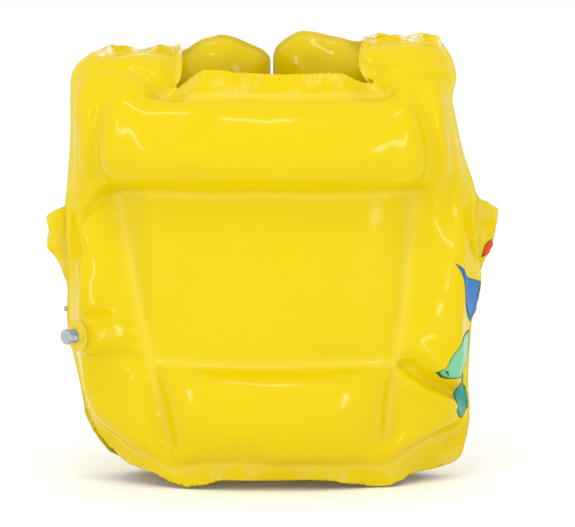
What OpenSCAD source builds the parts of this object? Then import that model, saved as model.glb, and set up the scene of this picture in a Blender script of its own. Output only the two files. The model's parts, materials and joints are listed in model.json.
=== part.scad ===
// Child's inflatable swim vest: a welded film vest in three air chambers
// (back, left front, right front) that closes in front with two strap buckles.
// Origin: bottom centre. +Z up, the wearer's back faces -Y, the front opening is on +Y.

/* [Vest] */
// Half of the width between the two vertical side seams
seam_x = 178; // [170:1:185]
// Distance from the middle of the vest to the middle of the back panel
back_depth = 76; // [70:1:80]
// Distance from the middle of the vest to the middle of the front panels
front_depth = 72; // [66:1:76]
// How far the panels curve in towards the sides, per millimetre of width squared
panel_curve = 0.0015; // [0.001:0.0001:0.002]
// Height of the welded hem below the cells
hem_h = 24; // [15:1:26]
// Half of the hem's width
hem_x = 128; // [110:1:140]
// Height of the flat welded collar at the back of the neck
collar_h = 18; // [10:1:24]
// Thickness of a welded double film flange, with its waves
flange_t = 2.4; // [1.6:0.2:3]

/* [Back cells] */
// Middle height of the upper back cell
upper_z = 324; // [318:1:328]
// Half height of the upper back cell
upper_h = 46; // [40:1:47]
// Half width of the upper back cell
upper_half = 136; // [120:1:138]
// Middle height of the lower back cell
lower_z = 72; // [70:1:74]
// Half height of the lower back cell
lower_h = 45; // [40:1:45]
// Half width of the lower back cell
lower_half = 98; // [85:1:98]
// Half thickness of the back cells
back_puff = 33; // [26:1:34]

/* [Side cells] */
// Half thickness of the side cells
side_puff = 33; // [26:1:34]
// Distance of a side cell's outer edge from the plane of the side seams
side_edge_y = 27; // [24:1:32]
// How far the flat tabs under the armholes stand out from the middle
tab_x = 211; // [200:1:215]

/* [Shoulders] */
// Height of the middle of the shoulder cells where they cross the top
shoulder_z = 403; // [400:1:405]
// Half thickness of the shoulder cells
shoulder_puff = 25; // [20:1:26]

/* [Front cells] */
// Half thickness of the chest and belly cells
front_puff = 29; // [24:1:30]
// Half of the gap between the two front edges
front_gap = 4; // [3:0.5:8]

/* [Valves] */
// Distance of each valve from the middle, sideways
valve_x = 181.5; // [181:0.5:182]
// Distance of each valve from the side seams' plane
valve_y = 62; // [61:0.5:63]
// Turn of each valve from straight sideways, away from the seam
valve_turn = 40; // [38:1:42]
// Height of the back chamber's valve
back_valve_z = 144; // [120:1:170]
// Height of the two front chambers' valves
front_valve_z = 153; // [120:1:170]
// Outer radius of a valve's push-in stem
stem_r = 6; // [5:0.1:7]
// Bore radius of a valve's mouth, which the inflating nozzle and the plug fit
mouth_r = 4.2; // [3.5:0.1:4.6]
// Length of the stem outside the base
stem_out = 12; // [11:0.5:14]

/* [Buckles] */
// Heights of the two buckles
buckle_z = [118, 252]; // [60:1:300]
// Width of the webbing
web_w = 20; // [16:1:25]
// Thickness of the webbing
web_t = 1.4; // [1:0.1:2]
// Length of the plug's prongs
prong_l = 18; // [14:1:20]

/* [Hidden] */
film = "gold";
clear = "lightcyan";
nylon = "white";
gap = 1;          // between cells of one panel, where the weld lies
seam_gap = 0.5;   // between the back and a front, each side of the seam plane
fit = 0.3;        // between sliding plastic parts
sides = 24;       // points round a cell
roundness = 0.88; // 1 is a plain ellipse, smaller is fuller
lower = 0;
upper = 1;

// Mid-plane of the back and front panels, as a distance from the side seams' plane
function back_y(x) = -(back_depth - panel_curve * x * x);
function front_y(x) = front_depth - panel_curve * x * x;

// ---- cells: a ring of points at each station, joined into one closed skin ----

function full(t) = sign(t) * pow(abs(t), roundness);
function ring(c, u, v) = [for (i = [0:sides - 1]) let (a = 360 * i / sides)
    c + u * full(cos(a)) + v * full(sin(a))];

module cell(stations) {
    n = len(stations);
    quads = [for (j = [0:n - 2], i = [0:sides - 1]) let (k = (i + 1) % sides)
        [j * sides + i, (j + 1) * sides + i, (j + 1) * sides + k, j * sides + k]];
    tris = [for (q = quads) each [[q[0], q[1], q[2]], [q[0], q[2], q[3]]]];
    first = [for (i = [0:sides - 1]) i];
    last = [for (i = [sides - 1:-1:0]) (n - 1) * sides + i];
    polyhedron([for (s = stations) each ring(s[0], s[1], s[2])], concat(tris, [first, last]));
}

// A station of a standing cell, between two points of its panel at height z
function standing(p, q, z, puff) =
    let (m = (p + q) / 2, u = (q - p) / 2, n = [-u[1], u[0]] / norm(u) * puff)
    [[m[0], m[1], z], [u[0], u[1], 0], [n[0], n[1], 0]];

// How full a cell is at t from 0 to 1 of its length, round at both ends
function swell(t) = pow(1 - pow(abs(2 * t - 1), 5), 0.5);

// A lying cell of the back panel, between -half and +half along x
module lying_cell(half, z, h, puff, steps = 18) {
    color(film) cell([for (i = [0:steps]) let (t = (i + 0.15) / (steps + 0.3), x = (2 * t - 1) * half,
        s = swell(t), slope = 2 * panel_curve * x, n = [slope, -1] / norm([slope, -1]))
        [[x, back_y(x), z], [0, 0, h * (0.25 + 0.75 * s)], [n[0], n[1], 0] * puff * s]]);
}

// Height, inner x, outer x and share of the half thickness of a side cell's stations
side_profile = [[25, 102, 138, 0.3], [34, 96, 158, 0.6], [54, 98, 175, 0.84], [85, 106, 182, 0.95],
    [118, 115, 187, 1], [160, 123, 190, 1], [200, 130, 191, 1], [232, 136, 189, 0.92],
    [252, 141, 186, 0.75], [264, 147, 181, 0.45]];

module side_cell() {
    color(film) cell([for (s = side_profile) standing([s[1], back_y(s[1])], [s[2], -side_edge_y],
        s[0], side_puff * s[3])]);
}

// Middle x, half width, y, z, angle of the path and share of the thickness, from the
// armhole's foot up and over to the shoulder's seam
shoulder_profile = [[165, 16, -46, 266, 90, 0.5], [165, 19, -50, 284, 90, 0.8],
    [163, 21, -53, 330, 88, 0.95], [162, 22, -52, 358, 80, 1], [152, 33, -45, 378, 58, 1],
    [141, 42, -32, 393, 34, 1], [134, 46, -17, shoulder_z - 2, 12, 1],
    [130.5, 46.5, -seam_gap, shoulder_z, 0, 1]];

module shoulder_cell() {
    color(film) cell([for (s = shoulder_profile) [[s[0], s[2], s[3]], [s[1], 0, 0],
        [0, sin(s[4]), -cos(s[4])] * shoulder_puff * s[5]]]);
}

// Height, inner x, outer x and share of the half thickness of the chest and belly cells
chest_profile = [[160, 0, 112, 0.35], [167, 0, 113, 0.7], [185, 0, 116, 0.95], [225, 0, 123, 1],
    [262, 0, 130, 1], [300, 0, 136, 1], [335, 0, 132, 1], [358, 0, 114, 1], [378, 2, 100, 0.95],
    [394, 8, 88, 0.8], [405, 18, 70, 0.55], [410, 30, 54, 0.25]];
belly_profile = [[26, 2, 86, 0.3], [34, 0, 90, 0.65], [52, 0, 93, 0.95], [85, 0, 100, 1],
    [120, 0, 108, 1], [145, 0, 111, 0.85], [156, 0, 112, 0.5], [158, 0, 112, 0.3]];

module front_cell(profile) {
    color(film) cell([for (s = profile) let (a = front_gap + s[1])
        standing([a, front_y(a)], [s[2], front_y(s[2])], s[0], front_puff * s[3])]);
}

// ---- flat welded strips ----

// A strip that follows a panel's mid-plane from x0 to x1
module strip(x0, x1, front, h, t = flange_t, steps = 24) {
    xs = [for (i = [0:steps]) x0 + (x1 - x0) * i / steps];
    y = function (x) front ? front_y(x) : back_y(x);
    linear_extrude(h) polygon(concat([for (x = xs) [x, y(x) - t / 2]],
        [for (i = [steps:-1:0]) [xs[i], y(xs[i]) + t / 2]]));
}

module back_collar() {
    color(film) translate([0, 0, upper_z + upper_h + gap]) strip(-90, 90, false, collar_h);
}

module back_hem() {
    color(film) strip(-hem_x, hem_x, false, hem_h);
}

module front_hem() {
    color(film) strip(front_gap, hem_x, true, hem_h);
}

module centre_panel() {
    top = upper_z - upper_h - gap;
    foot = lower_z + lower_h + gap;
    color(film) intersection() {
        translate([0, 0, foot]) strip(-140, 140, false, top - foot, 3);
        rotate([90, 0, 0]) linear_extrude(300, center = true)
            polygon([[-110, foot], [110, foot], [134, top], [-134, top]]);
    }
}

module side_fold() {
    color(film) translate([0, 0, 60]) linear_extrude(180) hull() {
        translate([seam_x, -2]) circle(1, $fn = 16);
        translate([seam_x + 6, -12]) circle(1, $fn = 16);
    }
}

module armhole_tab() {
    color(film) translate([0, 4.2, 0]) rotate([90, 0, 0]) linear_extrude(2) polygon([[181, 212],
        [196, 217], [tab_x - 5, 225], [tab_x, 238], [tab_x - 1, 252], [tab_x - 9, 262], [192, 266],
        [182, 262]]);
}

module front_edge() {
    color(film) translate([0, front_depth - 1, 40]) linear_extrude(330)
        translate([front_gap - 3, -flange_t / 2]) square([2.6, flange_t]);
}

// ---- valves: built along +Z, mouth up, the film's surface at 0 ----

module to_valve(side, front) {
    out = front ? valve_turn : -valve_turn;
    translate([side * valve_x, front ? valve_y : -valve_y, front ? front_valve_z : back_valve_z])
        rotate([0, 0, side > 0 ? out : 180 - out]) rotate([0, 90, 0]) children();
}

module valve_pocket() {
    translate([0, 0, -24]) cylinder(h = 44, r = 10.5, $fn = 64);
    translate([0, 0, -0.8]) cylinder(h = 30, r = 16, $fn = 64);
}

module valve_base() {
    color(clear) rotate_extrude($fn = 96) polygon([[stem_r + fit, -0.8], [15, -0.8], [15, 0.2],
        [9.5, 0.8], [9, 3], [stem_r + fit, 3]]);
}

module valve_stem() {
    color(clear) rotate_extrude($fn = 96) polygon([[mouth_r, -4], [7.6, -4], [7.6, -2.8], [stem_r, -2.8],
        [stem_r, stem_out - 1.6], [7.2, stem_out - 1.2], [7.2, stem_out], [mouth_r, stem_out]]);
}

module valve_flap() {
    color(clear) {
        translate([0, 0, -4.8]) cylinder(h = 0.7, r = 5.4, $fn = 64);
        translate([0, 5.6, -4.5]) rotate([0, 90, 0]) cylinder(h = 4, r = 0.45, center = true, $fn = 32);
    }
}

module valve_plug() {
    color(clear) {
        rotate_extrude($fn = 96) polygon([[0, stem_out - 7], [mouth_r - 0.5, stem_out - 7],
            [mouth_r - 0.1, stem_out - 6], [mouth_r - 0.1, stem_out + 0.1], [6.8, stem_out + 0.1],
            [6.8, stem_out + 1.6], [6, stem_out + 2.2], [0, stem_out + 2.2]]);
        translate([-2.5, 4, stem_out + 0.3]) cube([5, 7, 1.2]);
    }
}

// ---- straps and buckles on the front, at height z ----

web_y = 97;               // back of the webbing
socket_x = [-32, -4];     // a socket's ends
frame_x = prong_l - 1;    // near end of a plug's frame
frame_l = 22;
buckle_h = web_w + 5;
buckle_y = web_y + web_t + 0.2;
buckle_t = back_depth + back_puff - buckle_y; // as far forward as the back reaches back
frame_t = buckle_t - 2.2;
patch_x = 72;

module patch(side, z) {
    color(film) translate([side * patch_x - 18, web_y - 1.9, z - 17]) cube([36, 1.6, 34]);
}

module socket_webbing(z) {
    color(nylon) translate([-patch_x - 12, web_y, z - web_w / 2])
        cube([patch_x + 12 + socket_x[0] + 5, web_t, web_w]);
}

module strap_webbing(z) {
    color(nylon) translate([frame_x + 1, web_y, z - web_w / 2])
        cube([patch_x + 12 - frame_x - 1, web_t, web_w]);
}

module buckle_socket(z) {
    l = socket_x[1] - socket_x[0];
    color(nylon) translate([socket_x[0], buckle_y, z - buckle_h / 2]) difference() {
        cube([l, buckle_t, buckle_h]);
        translate([6, 1.8, 1.8]) cube([l, buckle_t - 3.6, buckle_h - 3.6]);
        translate([9, 2.6, -1]) cube([9, buckle_t - 5.2, buckle_h + 2]);
    }
}

module plug_frame(z) {
    color(nylon) translate([frame_x, buckle_y + 0.8, z - buckle_h / 2]) difference() {
        union() {
            cube([frame_l, frame_t, buckle_h]);
            translate([-12, 1.6, buckle_h / 2 - 3]) cube([12.5, buckle_t - 4.8, 6]);
        }
        for (x = [5, 13]) translate([x, -1, 2.5]) cube([3.6, buckle_t + 2, buckle_h - 5]);
    }
}

module plug_prong(z, up) {
    flip = up ? 1 : -1;
    color(nylon) translate([frame_x, buckle_y + 2.4, z]) rotate([-90, 0, 0]) linear_extrude(buckle_t - 4.8)
        polygon([for (p = [[-fit, 9.6], [-prong_l + 6, 9.4], [-prong_l + 3, 10.2], [-prong_l, 8.8],
            [-prong_l, 6.6], [-fit, 5.4]]) [p[0], -flip * p[1]]]);
}

module strap_tail(z) {
    color(nylon) translate([frame_x + frame_l - 8, buckle_y + 0.8 + frame_t + 0.1, z - web_w / 2])
        cube([46, 1.2, web_w]);
}

// ---- placing ----

module other_side() mirror([1, 0, 0]) children();
module to_front() mirror([0, 1, 0]) children();

// A side cell with the pocket that its chamber's valve sits in
module valved_side_cell(side, front) {
    color(film) difference() {
        mirror([side < 0 ? 1 : 0, 0, 0]) mirror([0, front ? 1 : 0, 0]) side_cell();
        to_valve(side, front) valve_pocket();
    }
}

lying_cell(upper_half, upper_z, upper_h, back_puff);  // back_upper_cell
lying_cell(lower_half, lower_z, lower_h, back_puff);  // back_lower_cell
valved_side_cell(-1, false);  // back_left_side_cell
side_cell();  // back_right_side_cell
centre_panel();  // back_centre_panel
other_side() shoulder_cell();  // back_left_shoulder_cell
shoulder_cell();  // back_right_shoulder_cell
back_collar();
back_hem();
other_side() side_fold();  // left_side_fold
side_fold();  // right_side_fold
to_valve(-1, false) valve_base();  // back_valve_base
to_valve(-1, false) valve_stem();  // back_valve_stem
to_valve(-1, false) valve_flap();  // back_valve_flap
to_valve(-1, false) valve_plug();  // back_valve_plug

other_side() front_cell(chest_profile);  // left_chest_cell
other_side() front_cell(belly_profile);  // left_belly_cell
valved_side_cell(-1, true);  // left_front_side_cell
other_side() to_front() shoulder_cell();  // left_front_shoulder_cell
other_side() front_edge();  // left_front_edge
other_side() front_hem();  // left_front_hem
other_side() armhole_tab();  // left_armhole_tab
to_valve(-1, true) valve_base();  // left_valve_base
to_valve(-1, true) valve_stem();  // left_valve_stem
to_valve(-1, true) valve_flap();  // left_valve_flap
to_valve(-1, true) valve_plug();  // left_valve_plug
patch(-1, buckle_z[upper]);  // left_upper_patch
patch(-1, buckle_z[lower]);  // left_lower_patch
socket_webbing(buckle_z[upper]);  // upper_socket_webbing
socket_webbing(buckle_z[lower]);  // lower_socket_webbing
buckle_socket(buckle_z[upper]);  // upper_buckle_socket
buckle_socket(buckle_z[lower]);  // lower_buckle_socket

front_cell(chest_profile);  // right_chest_cell
front_cell(belly_profile);  // right_belly_cell
valved_side_cell(1, true);  // right_front_side_cell
to_front() shoulder_cell();  // right_front_shoulder_cell
front_edge();  // right_front_edge
front_hem();  // right_front_hem
armhole_tab();  // right_armhole_tab
to_valve(1, true) valve_base();  // right_valve_base
to_valve(1, true) valve_stem();  // right_valve_stem
to_valve(1, true) valve_flap();  // right_valve_flap
to_valve(1, true) valve_plug();  // right_valve_plug
patch(1, buckle_z[upper]);  // right_upper_patch
patch(1, buckle_z[lower]);  // right_lower_patch
strap_webbing(buckle_z[upper]);  // upper_strap_webbing
strap_webbing(buckle_z[lower]);  // lower_strap_webbing

plug_frame(buckle_z[upper]);  // upper_plug_frame
plug_prong(buckle_z[upper], true);  // upper_plug_top_prong
plug_prong(buckle_z[upper], false);  // upper_plug_bottom_prong
strap_tail(buckle_z[upper]);  // upper_strap_tail
plug_frame(buckle_z[lower]);  // lower_plug_frame
plug_prong(buckle_z[lower], true);  // lower_plug_top_prong
plug_prong(buckle_z[lower], false);  // lower_plug_bottom_prong
strap_tail(buckle_z[lower]);  // lower_strap_tail
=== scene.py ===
# %% [markdown]
# # A child's inflatable swim vest
# The vest is three welded pillows of thin yellow vinyl: a back, and a left and a right front.
# Each pillow is cut flat, as two sheets on top of each other, welded round its edge and along
# inner lines, and then blown up. This lesson makes them the same way: a flat pattern, a first
# guess of how far each point stands out, and a cloth simulation with air pressure that finds
# the folds.

import json
import math

import bmesh
import bpy
import numpy as np
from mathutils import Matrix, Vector, noise
from mathutils.bvhtree import BVHTree
from mathutils.geometry import delaunay_2d_cdt


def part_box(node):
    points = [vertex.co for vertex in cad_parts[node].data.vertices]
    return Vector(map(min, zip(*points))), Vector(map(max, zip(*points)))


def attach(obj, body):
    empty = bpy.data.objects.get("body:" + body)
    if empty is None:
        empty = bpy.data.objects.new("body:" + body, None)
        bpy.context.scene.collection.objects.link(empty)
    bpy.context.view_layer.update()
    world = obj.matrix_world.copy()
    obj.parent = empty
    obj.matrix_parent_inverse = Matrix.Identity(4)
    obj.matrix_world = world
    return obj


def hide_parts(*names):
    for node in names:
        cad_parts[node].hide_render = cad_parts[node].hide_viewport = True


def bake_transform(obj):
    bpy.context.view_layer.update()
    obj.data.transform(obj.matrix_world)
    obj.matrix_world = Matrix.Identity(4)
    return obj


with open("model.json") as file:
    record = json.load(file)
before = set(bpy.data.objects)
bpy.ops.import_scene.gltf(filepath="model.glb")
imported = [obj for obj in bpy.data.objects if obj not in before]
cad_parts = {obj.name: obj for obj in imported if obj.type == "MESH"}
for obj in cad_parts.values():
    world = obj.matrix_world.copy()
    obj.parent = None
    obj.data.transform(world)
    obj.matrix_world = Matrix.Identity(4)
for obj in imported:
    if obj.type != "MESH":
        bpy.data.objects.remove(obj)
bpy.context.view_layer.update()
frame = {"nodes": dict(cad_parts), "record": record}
MM = 0.001

# %% [markdown]
# ## Small helpers
# Every outline here is a few listed points in millimetres with a smooth curve through
# them. A Catmull-Rom curve passes through its points, so the list can be read as a drawing.

# %% Curves through points
def smooth_line(points, step=5.0):
    """A smooth curve through the points, as points about step apart, in millimetres."""
    pts = [np.array(p, float) for p in points]
    pts = [2 * pts[0] - pts[1]] + pts + [2 * pts[-1] - pts[-2]]
    out = []
    for a, b, c, d in zip(pts, pts[1:], pts[2:], pts[3:]):
        n = max(1, round(np.linalg.norm(c - b) / step))
        for t in np.arange(n) / n:
            out.append(0.5 * (2 * b + (c - a) * t + (2 * a - 5 * b + 4 * c - d) * t**2
                              + (3 * b - a - 3 * c + d) * t**3))
    return out + [pts[-2]]


def near_line(points, line):
    """Distance of each 2-D point from a line of short segments."""
    best = np.full(len(points), 1e9)
    for a, b in zip(line[:-1], line[1:]):
        ab = b - a
        t = np.clip((points - a) @ ab / max(ab @ ab, 1e-12), 0, 1)
        best = np.minimum(best, np.linalg.norm(points - a - t[:, None] * ab, axis=1))
    return best


def inside(points, area):
    """Which 2-D points lie inside a closed outline."""
    area = np.array(area)
    result = np.zeros(len(points), bool)
    for (x0, y0), (x1, y1) in zip(area, np.roll(area, -1, axis=0)):
        crosses = (y0 > points[:, 1]) != (y1 > points[:, 1])
        at = x0 + (points[:, 1] - y0) / ((y1 - y0) or 1e-9) * (x1 - x0)
        result ^= crosses & (points[:, 0] < at)
    return result


def smoothstep(t):
    t = np.clip(t, 0, 1)
    return t * t * (3 - 2 * t)


def sideways(line):
    """Unit vectors square to a 2-D line, one for each of its points."""
    along = np.gradient(line, axis=0)
    aside = np.stack([-along[:, 1], along[:, 0]], axis=1)
    return aside / np.linalg.norm(aside, axis=1)[:, None]


def tube_faces(rings, around, first=0):
    """Faces of a tube made of rings of points in order, with a cap on each end."""
    sides = [(first + j * around + i, first + j * around + (i + 1) % around,
              first + (j + 1) * around + (i + 1) % around, first + (j + 1) * around + i)
             for j in range(rings - 1) for i in range(around)]
    last = first + (rings - 1) * around
    return sides + [tuple(range(first, first + around))[::-1], tuple(range(last, last + around))]


def face_outwards(mesh):
    bm = bmesh.new()
    bm.from_mesh(mesh)
    bmesh.ops.recalc_face_normals(bm, faces=bm.faces)
    bm.to_mesh(mesh)
    bm.free()


print("helpers ready")

# %% [markdown]
# ## Where the panels stand
# A panel's flat pattern has x across the vest and q up its surface, in millimetres. The back
# and the fronts curve round the chest, and their shoulders lean in to meet over the top, where
# they are welded together. Each function below gives the middle of the air space in 3-D.

# %% The middle surface of a panel
SEAM_TOP = 445.0     # pattern height of the shoulder seam
LEAN_FROM = 345.0    # where the shoulders start to lean in
BACK_DEPTH = 75.0
FRONT_DEPTH = 68.0
CURVE = 0.0015
SIDE_SEAM_TOP = 250.0
ARMHOLE_RISE = 120.0  # height over which the back and the front part at the armhole
MEET = 0.016         # share of the depth that is left between two panels at a shared seam


def seam_height(x):
    """Height of the shoulder seam: the wearer's right shoulder stands a little higher."""
    return 401 + 10 * smoothstep((x + 60) / 120)


def middle(x, q, front):
    """3-D points in millimetres of the middle surface, for pattern points x, q."""
    depth = (FRONT_DEPTH if front else BACK_DEPTH) - CURVE * x * x
    side = smoothstep((np.abs(x) - 108) / 74) * (1 - smoothstep((q - SIDE_SEAM_TOP) / ARMHOLE_RISE))
    depth = depth * (1 - side) + 1.0 * side
    over = np.clip((q - LEAN_FROM) / (SEAM_TOP - LEAN_FROM), 0, 1)
    neck = smoothstep((np.abs(x) - 62) / 30)
    lean = (0.3 + (0.7 - MEET) * neck) * over**1.3
    rise = seam_height(x) - LEAN_FROM
    shoulder = LEAN_FROM + rise * over**0.88
    z = np.where(q < LEAN_FROM, q, neck * shoulder + (1 - neck) * np.minimum(q, SEAM_TOP))
    past = np.maximum(q - SEAM_TOP, 0)
    y = -depth * (1 - lean)
    return np.stack([x, (-y if front else y), z + past], axis=1)


def facing(x, q, front):
    """Unit normals of the middle surface, pointing away from the wearer."""
    e = 0.5
    across = middle(x + e, q, front) - middle(x - e, q, front)
    up = middle(x, q + e, front) - middle(x, q - e, front)
    n = np.cross(across, up)
    n /= np.linalg.norm(n, axis=1)[:, None]
    return -n if front else n


print("middle surface ready")

# %% [markdown]
# ## A welded pillow
# The pattern is filled with a triangle mesh whose edges follow the outline and the welds, so
# that each weld is a clean line. Both sheets use the same triangles and share the outline.
# The first guess of the puff is the square root of a soap-film height: on a long cell that is
# exactly a half round, and it dies away by itself at every weld.

# %% Mesh of a flat pattern
SPACING = 5.0


def fill_pattern(outline, lines, spacing=SPACING):
    """Triangles that fill the outline and have edges along the lines: points and triangles."""
    points, edges = [], []

    def add(line, closed):
        first = len(points)
        points.extend(line)
        n = len(line)
        edges.extend((first + i, first + (i + 1) % n) for i in range(n if closed else n - 1))

    add(outline, True)
    for line in lines:
        add(line, False)
    fixed = np.array(points)
    lo, hi = fixed.min(0), fixed.max(0)
    rows = []
    for j in range(int((hi[1] - lo[1]) / (spacing * 0.866)) + 1):
        xs = np.arange(lo[0] + (j % 2) * spacing / 2, hi[0], spacing)
        rows.append(np.stack([xs, np.full(len(xs), lo[1] + j * spacing * 0.866)], axis=1))
    grid = np.concatenate(rows)
    clear = np.min([near_line(grid, line) for line in [outline + [outline[0]]] + lines], axis=0)
    grid = grid[(clear > spacing * 0.55) & inside(grid, outline)]
    everything = [Vector(p) for p in points] + [Vector(p) for p in grid]
    got = delaunay_2d_cdt(everything, edges, [], 1, 1e-4)
    return np.array([v[:] for v in got[0]]), [tuple(f) for f in got[2]]


def soap_film(points, tris, held, rounds=1500):
    """Height of a soap film over the pattern, zero where held; its root is a round puff."""
    pairs = {tuple(sorted((t[i], t[(i + 1) % 3]))) for t in tris for i in range(3)}
    a, b = np.array(sorted(pairs)).T
    length2 = ((points[a] - points[b]) ** 2).sum(1)
    n = len(points)
    count = np.bincount(a, minlength=n) + np.bincount(b, minlength=n)
    source = (np.bincount(a, length2, n) + np.bincount(b, length2, n)) / count / 2
    u = np.zeros(n)
    for _ in range(rounds):
        u = (np.bincount(a, u[b], n) + np.bincount(b, u[a], n)) / count + source
        u[held] = 0
    return u


print("pattern tools ready")

# %% [markdown]
# ## The air pillow itself
# Cloth with pressure is what Blender has for an inflated skin. The sheets start already
# rounded, a little larger than the space they have, and the welds are pinned. The spare film
# then has to go somewhere, and it puckers beside the welds as real vinyl does.

# %% Make and inflate one pillow
FILM_GAP = 0.3       # half of the space between the two sheets at a weld
PUFF = 0.74          # how round a cell is: 1 would be a half circle
MOST_MOVE = 9 * MM   # how far the simulation may move a point
SPARE_FILM = 0.018   # how much larger the film is than its first guess
WELD_HALF = 1.1      # half of an inner weld's width
PATTERN = {}         # each pillow's pattern, kept for the creases and the prints


def wave(x, q, size, seed):
    """A smooth random wave from -1 to 1 over the pattern."""
    return np.array([noise.noise(Vector((a / size, b / size, seed * 7.31)))
                     for a, b in zip(x, q)]) * 1.6


def make_pillow(name, outline, seam, welds, flat, front, puff=PUFF, flutter=3.0):
    """A pillow mesh from a pattern. Flat is a list of outlines that hold no air."""
    welds = [smooth_line(w, SPACING) for w in welds]
    doubled = []
    for w in welds:
        shift = sideways(np.array(w)) * WELD_HALF
        doubled += [list(w + shift), list(w - shift)]
    points, tris = fill_pattern(outline, [seam + [seam[0]]] + doubled)
    x, q = points.T
    rim = near_line(points, outline + [outline[0]]) < 0.01
    outside = ~inside(points, seam)
    held = outside | (near_line(points, seam + [seam[0]]) < 0.6)
    for w in welds:
        held |= near_line(points, w) < 1.6
    no_air = np.zeros(len(points), bool)
    for area in flat:
        no_air |= inside(points, area)
    held |= no_air
    film = soap_film(points, tris, held)
    stand = np.sqrt(film) * (puff(x, q) if callable(puff) else puff)
    stand = np.maximum(stand, FILM_GAP)
    mid, out = middle(x, q, front), facing(x, q, front)
    from_seam = near_line(points, seam + [seam[0]])
    off = from_seam * outside
    sway = flutter * np.minimum(off / 14, 1.6) * wave(x, q, 34, 2)
    sway += 0.9 * np.minimum(off / 8, 1) * wave(x, q, 9, 3)
    sway *= -1 if front else 1
    sway += no_air * 1.3 * wave(x, q, 60, 5) * np.minimum(from_seam / 30, 1)
    mid = mid + out * sway[:, None]
    n = len(points)
    other = np.where(rim, np.arange(n), 0)
    free = np.flatnonzero(~rim)
    other[free] = n + np.arange(len(free))
    verts = np.concatenate([mid + out * stand[:, None] * ~rim[:, None],
                            (mid - out * stand[:, None])[free]]) * MM
    faces = [t[::-1] if front else t for t in tris]
    faces += [tuple(int(other[i]) for i in (t if front else t[::-1])) for t in tris]
    mesh = bpy.data.meshes.new(name)
    mesh.from_pydata(verts.tolist(), [], faces)
    mesh.update()
    face_outwards(mesh)
    piece = bpy.data.objects.new(name, mesh)
    bpy.context.collection.objects.link(piece)
    pinned = np.concatenate([held, held[free]])
    group = piece.vertex_groups.new(name="welds")
    group.add([int(i) for i in np.flatnonzero(pinned)], 1.0, "REPLACE")
    to_weld = np.min([from_seam] + [near_line(points, w) for w in welds], axis=0)
    # Painted highlight: pale glint patches on the crinkled hem film, mostly at the shoulder tops,
    # stored as a point value for the film's colour.
    shoulder = smoothstep((q - 428) / 14) * (np.abs(x) > 80)
    glint_patches = smoothstep(wave(x, q, 16, 11) * 2.2 + 0.1) * np.minimum(off / 3, 1)
    paint(piece, "weld", 1 - np.clip((to_weld - 0.8) / 1.6, 0, 1), free)
    paint(piece, "crinkle_glint", glint_patches * (0.06 + 0.94 * shoulder), free)
    PATTERN[name] = {"points": points, "tris": tris, "other": other, "out": out, "stand": stand,
                     "held": pinned}
    print(name, len(verts), "points,", int(pinned.sum()), "on welds")
    return piece


def paint(piece, name, values, free):
    """Store a value for each point of the outer sheet, and the same on the inner one."""
    layer = piece.data.attributes.new(name, "FLOAT", "POINT")
    layer.data.foreach_set("value", np.concatenate([values, values[free]]).astype(np.float32))


def relax(mesh, co, held, rounds=5):
    """Even out the small crumples that are finer than the film can hold; welds stay."""
    ends = np.array([e.vertices[:] for e in mesh.edges])
    a, b = np.concatenate([ends, ends[:, ::-1]]).T
    count = np.bincount(a, minlength=len(co))[:, None]
    for _ in range(rounds):
        mean = np.stack([np.bincount(a, co[b, k], len(co)) for k in range(3)], axis=1) / count
        co = np.where(held[:, None], co, 0.45 * co + 0.55 * mean)
    return co


def blow_up(piece, pressure=3.0, frames=20):
    """Inflate the pillow with cloth, keep each point near its first place, and apply it."""
    mesh = piece.data
    start = np.array([v.co[:] for v in mesh.vertices])
    cloth = piece.modifiers.new("air", "CLOTH")
    s = cloth.settings
    s.quality = 6
    s.mass = 0.1
    s.tension_stiffness = s.compression_stiffness = 25
    s.shear_stiffness = 12
    s.bending_stiffness = 0.6
    s.use_pressure = True
    s.uniform_pressure_force = pressure
    s.vertex_group_mass = "welds"
    s.shrink_min = -SPARE_FILM
    s.effector_weights.gravity = 0
    cloth.collision_settings.use_collision = False
    cloth.point_cache.frame_end = frames
    scene = bpy.context.scene
    for f in range(1, frames + 1):
        scene.frame_set(f)
    shown = piece.evaluated_get(bpy.context.evaluated_depsgraph_get())
    end = np.array([v.co[:] for v in shown.data.vertices])
    piece.modifiers.remove(cloth)
    scene.frame_set(1)
    move = end - start
    far = np.linalg.norm(move, axis=1)
    far[~np.isfinite(far)] = 0
    move *= (MOST_MOVE * np.tanh(far / MOST_MOVE) / np.maximum(far, 1e-9))[:, None]
    mesh.vertices.foreach_set("co", relax(mesh, start + move, PATTERN[piece.name]["held"]).ravel())
    mesh.update()
    print(piece.name, "moved up to", round(float(far.max()) * 1000, 1), "mm")


def draw(*stretches):
    """Join smooth stretches into one closed outline, with a corner where two meet."""
    out = []
    for s in stretches:
        out += smooth_line(s, SPACING)[:-1]
    return out


print("pillow tools ready")

# %% [markdown]
# ## The back's pattern
# The outer line is the cut edge of the film and the inner line is the weld that holds the air.
# What lies between them is a flat hem, wide below the neck and at the bottom, narrow elsewhere.
# Two level welds and two slanting ones part the back into an upper and a lower cushion, a flat
# web in the middle, which holds no air, and two tall side tubes.

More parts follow.
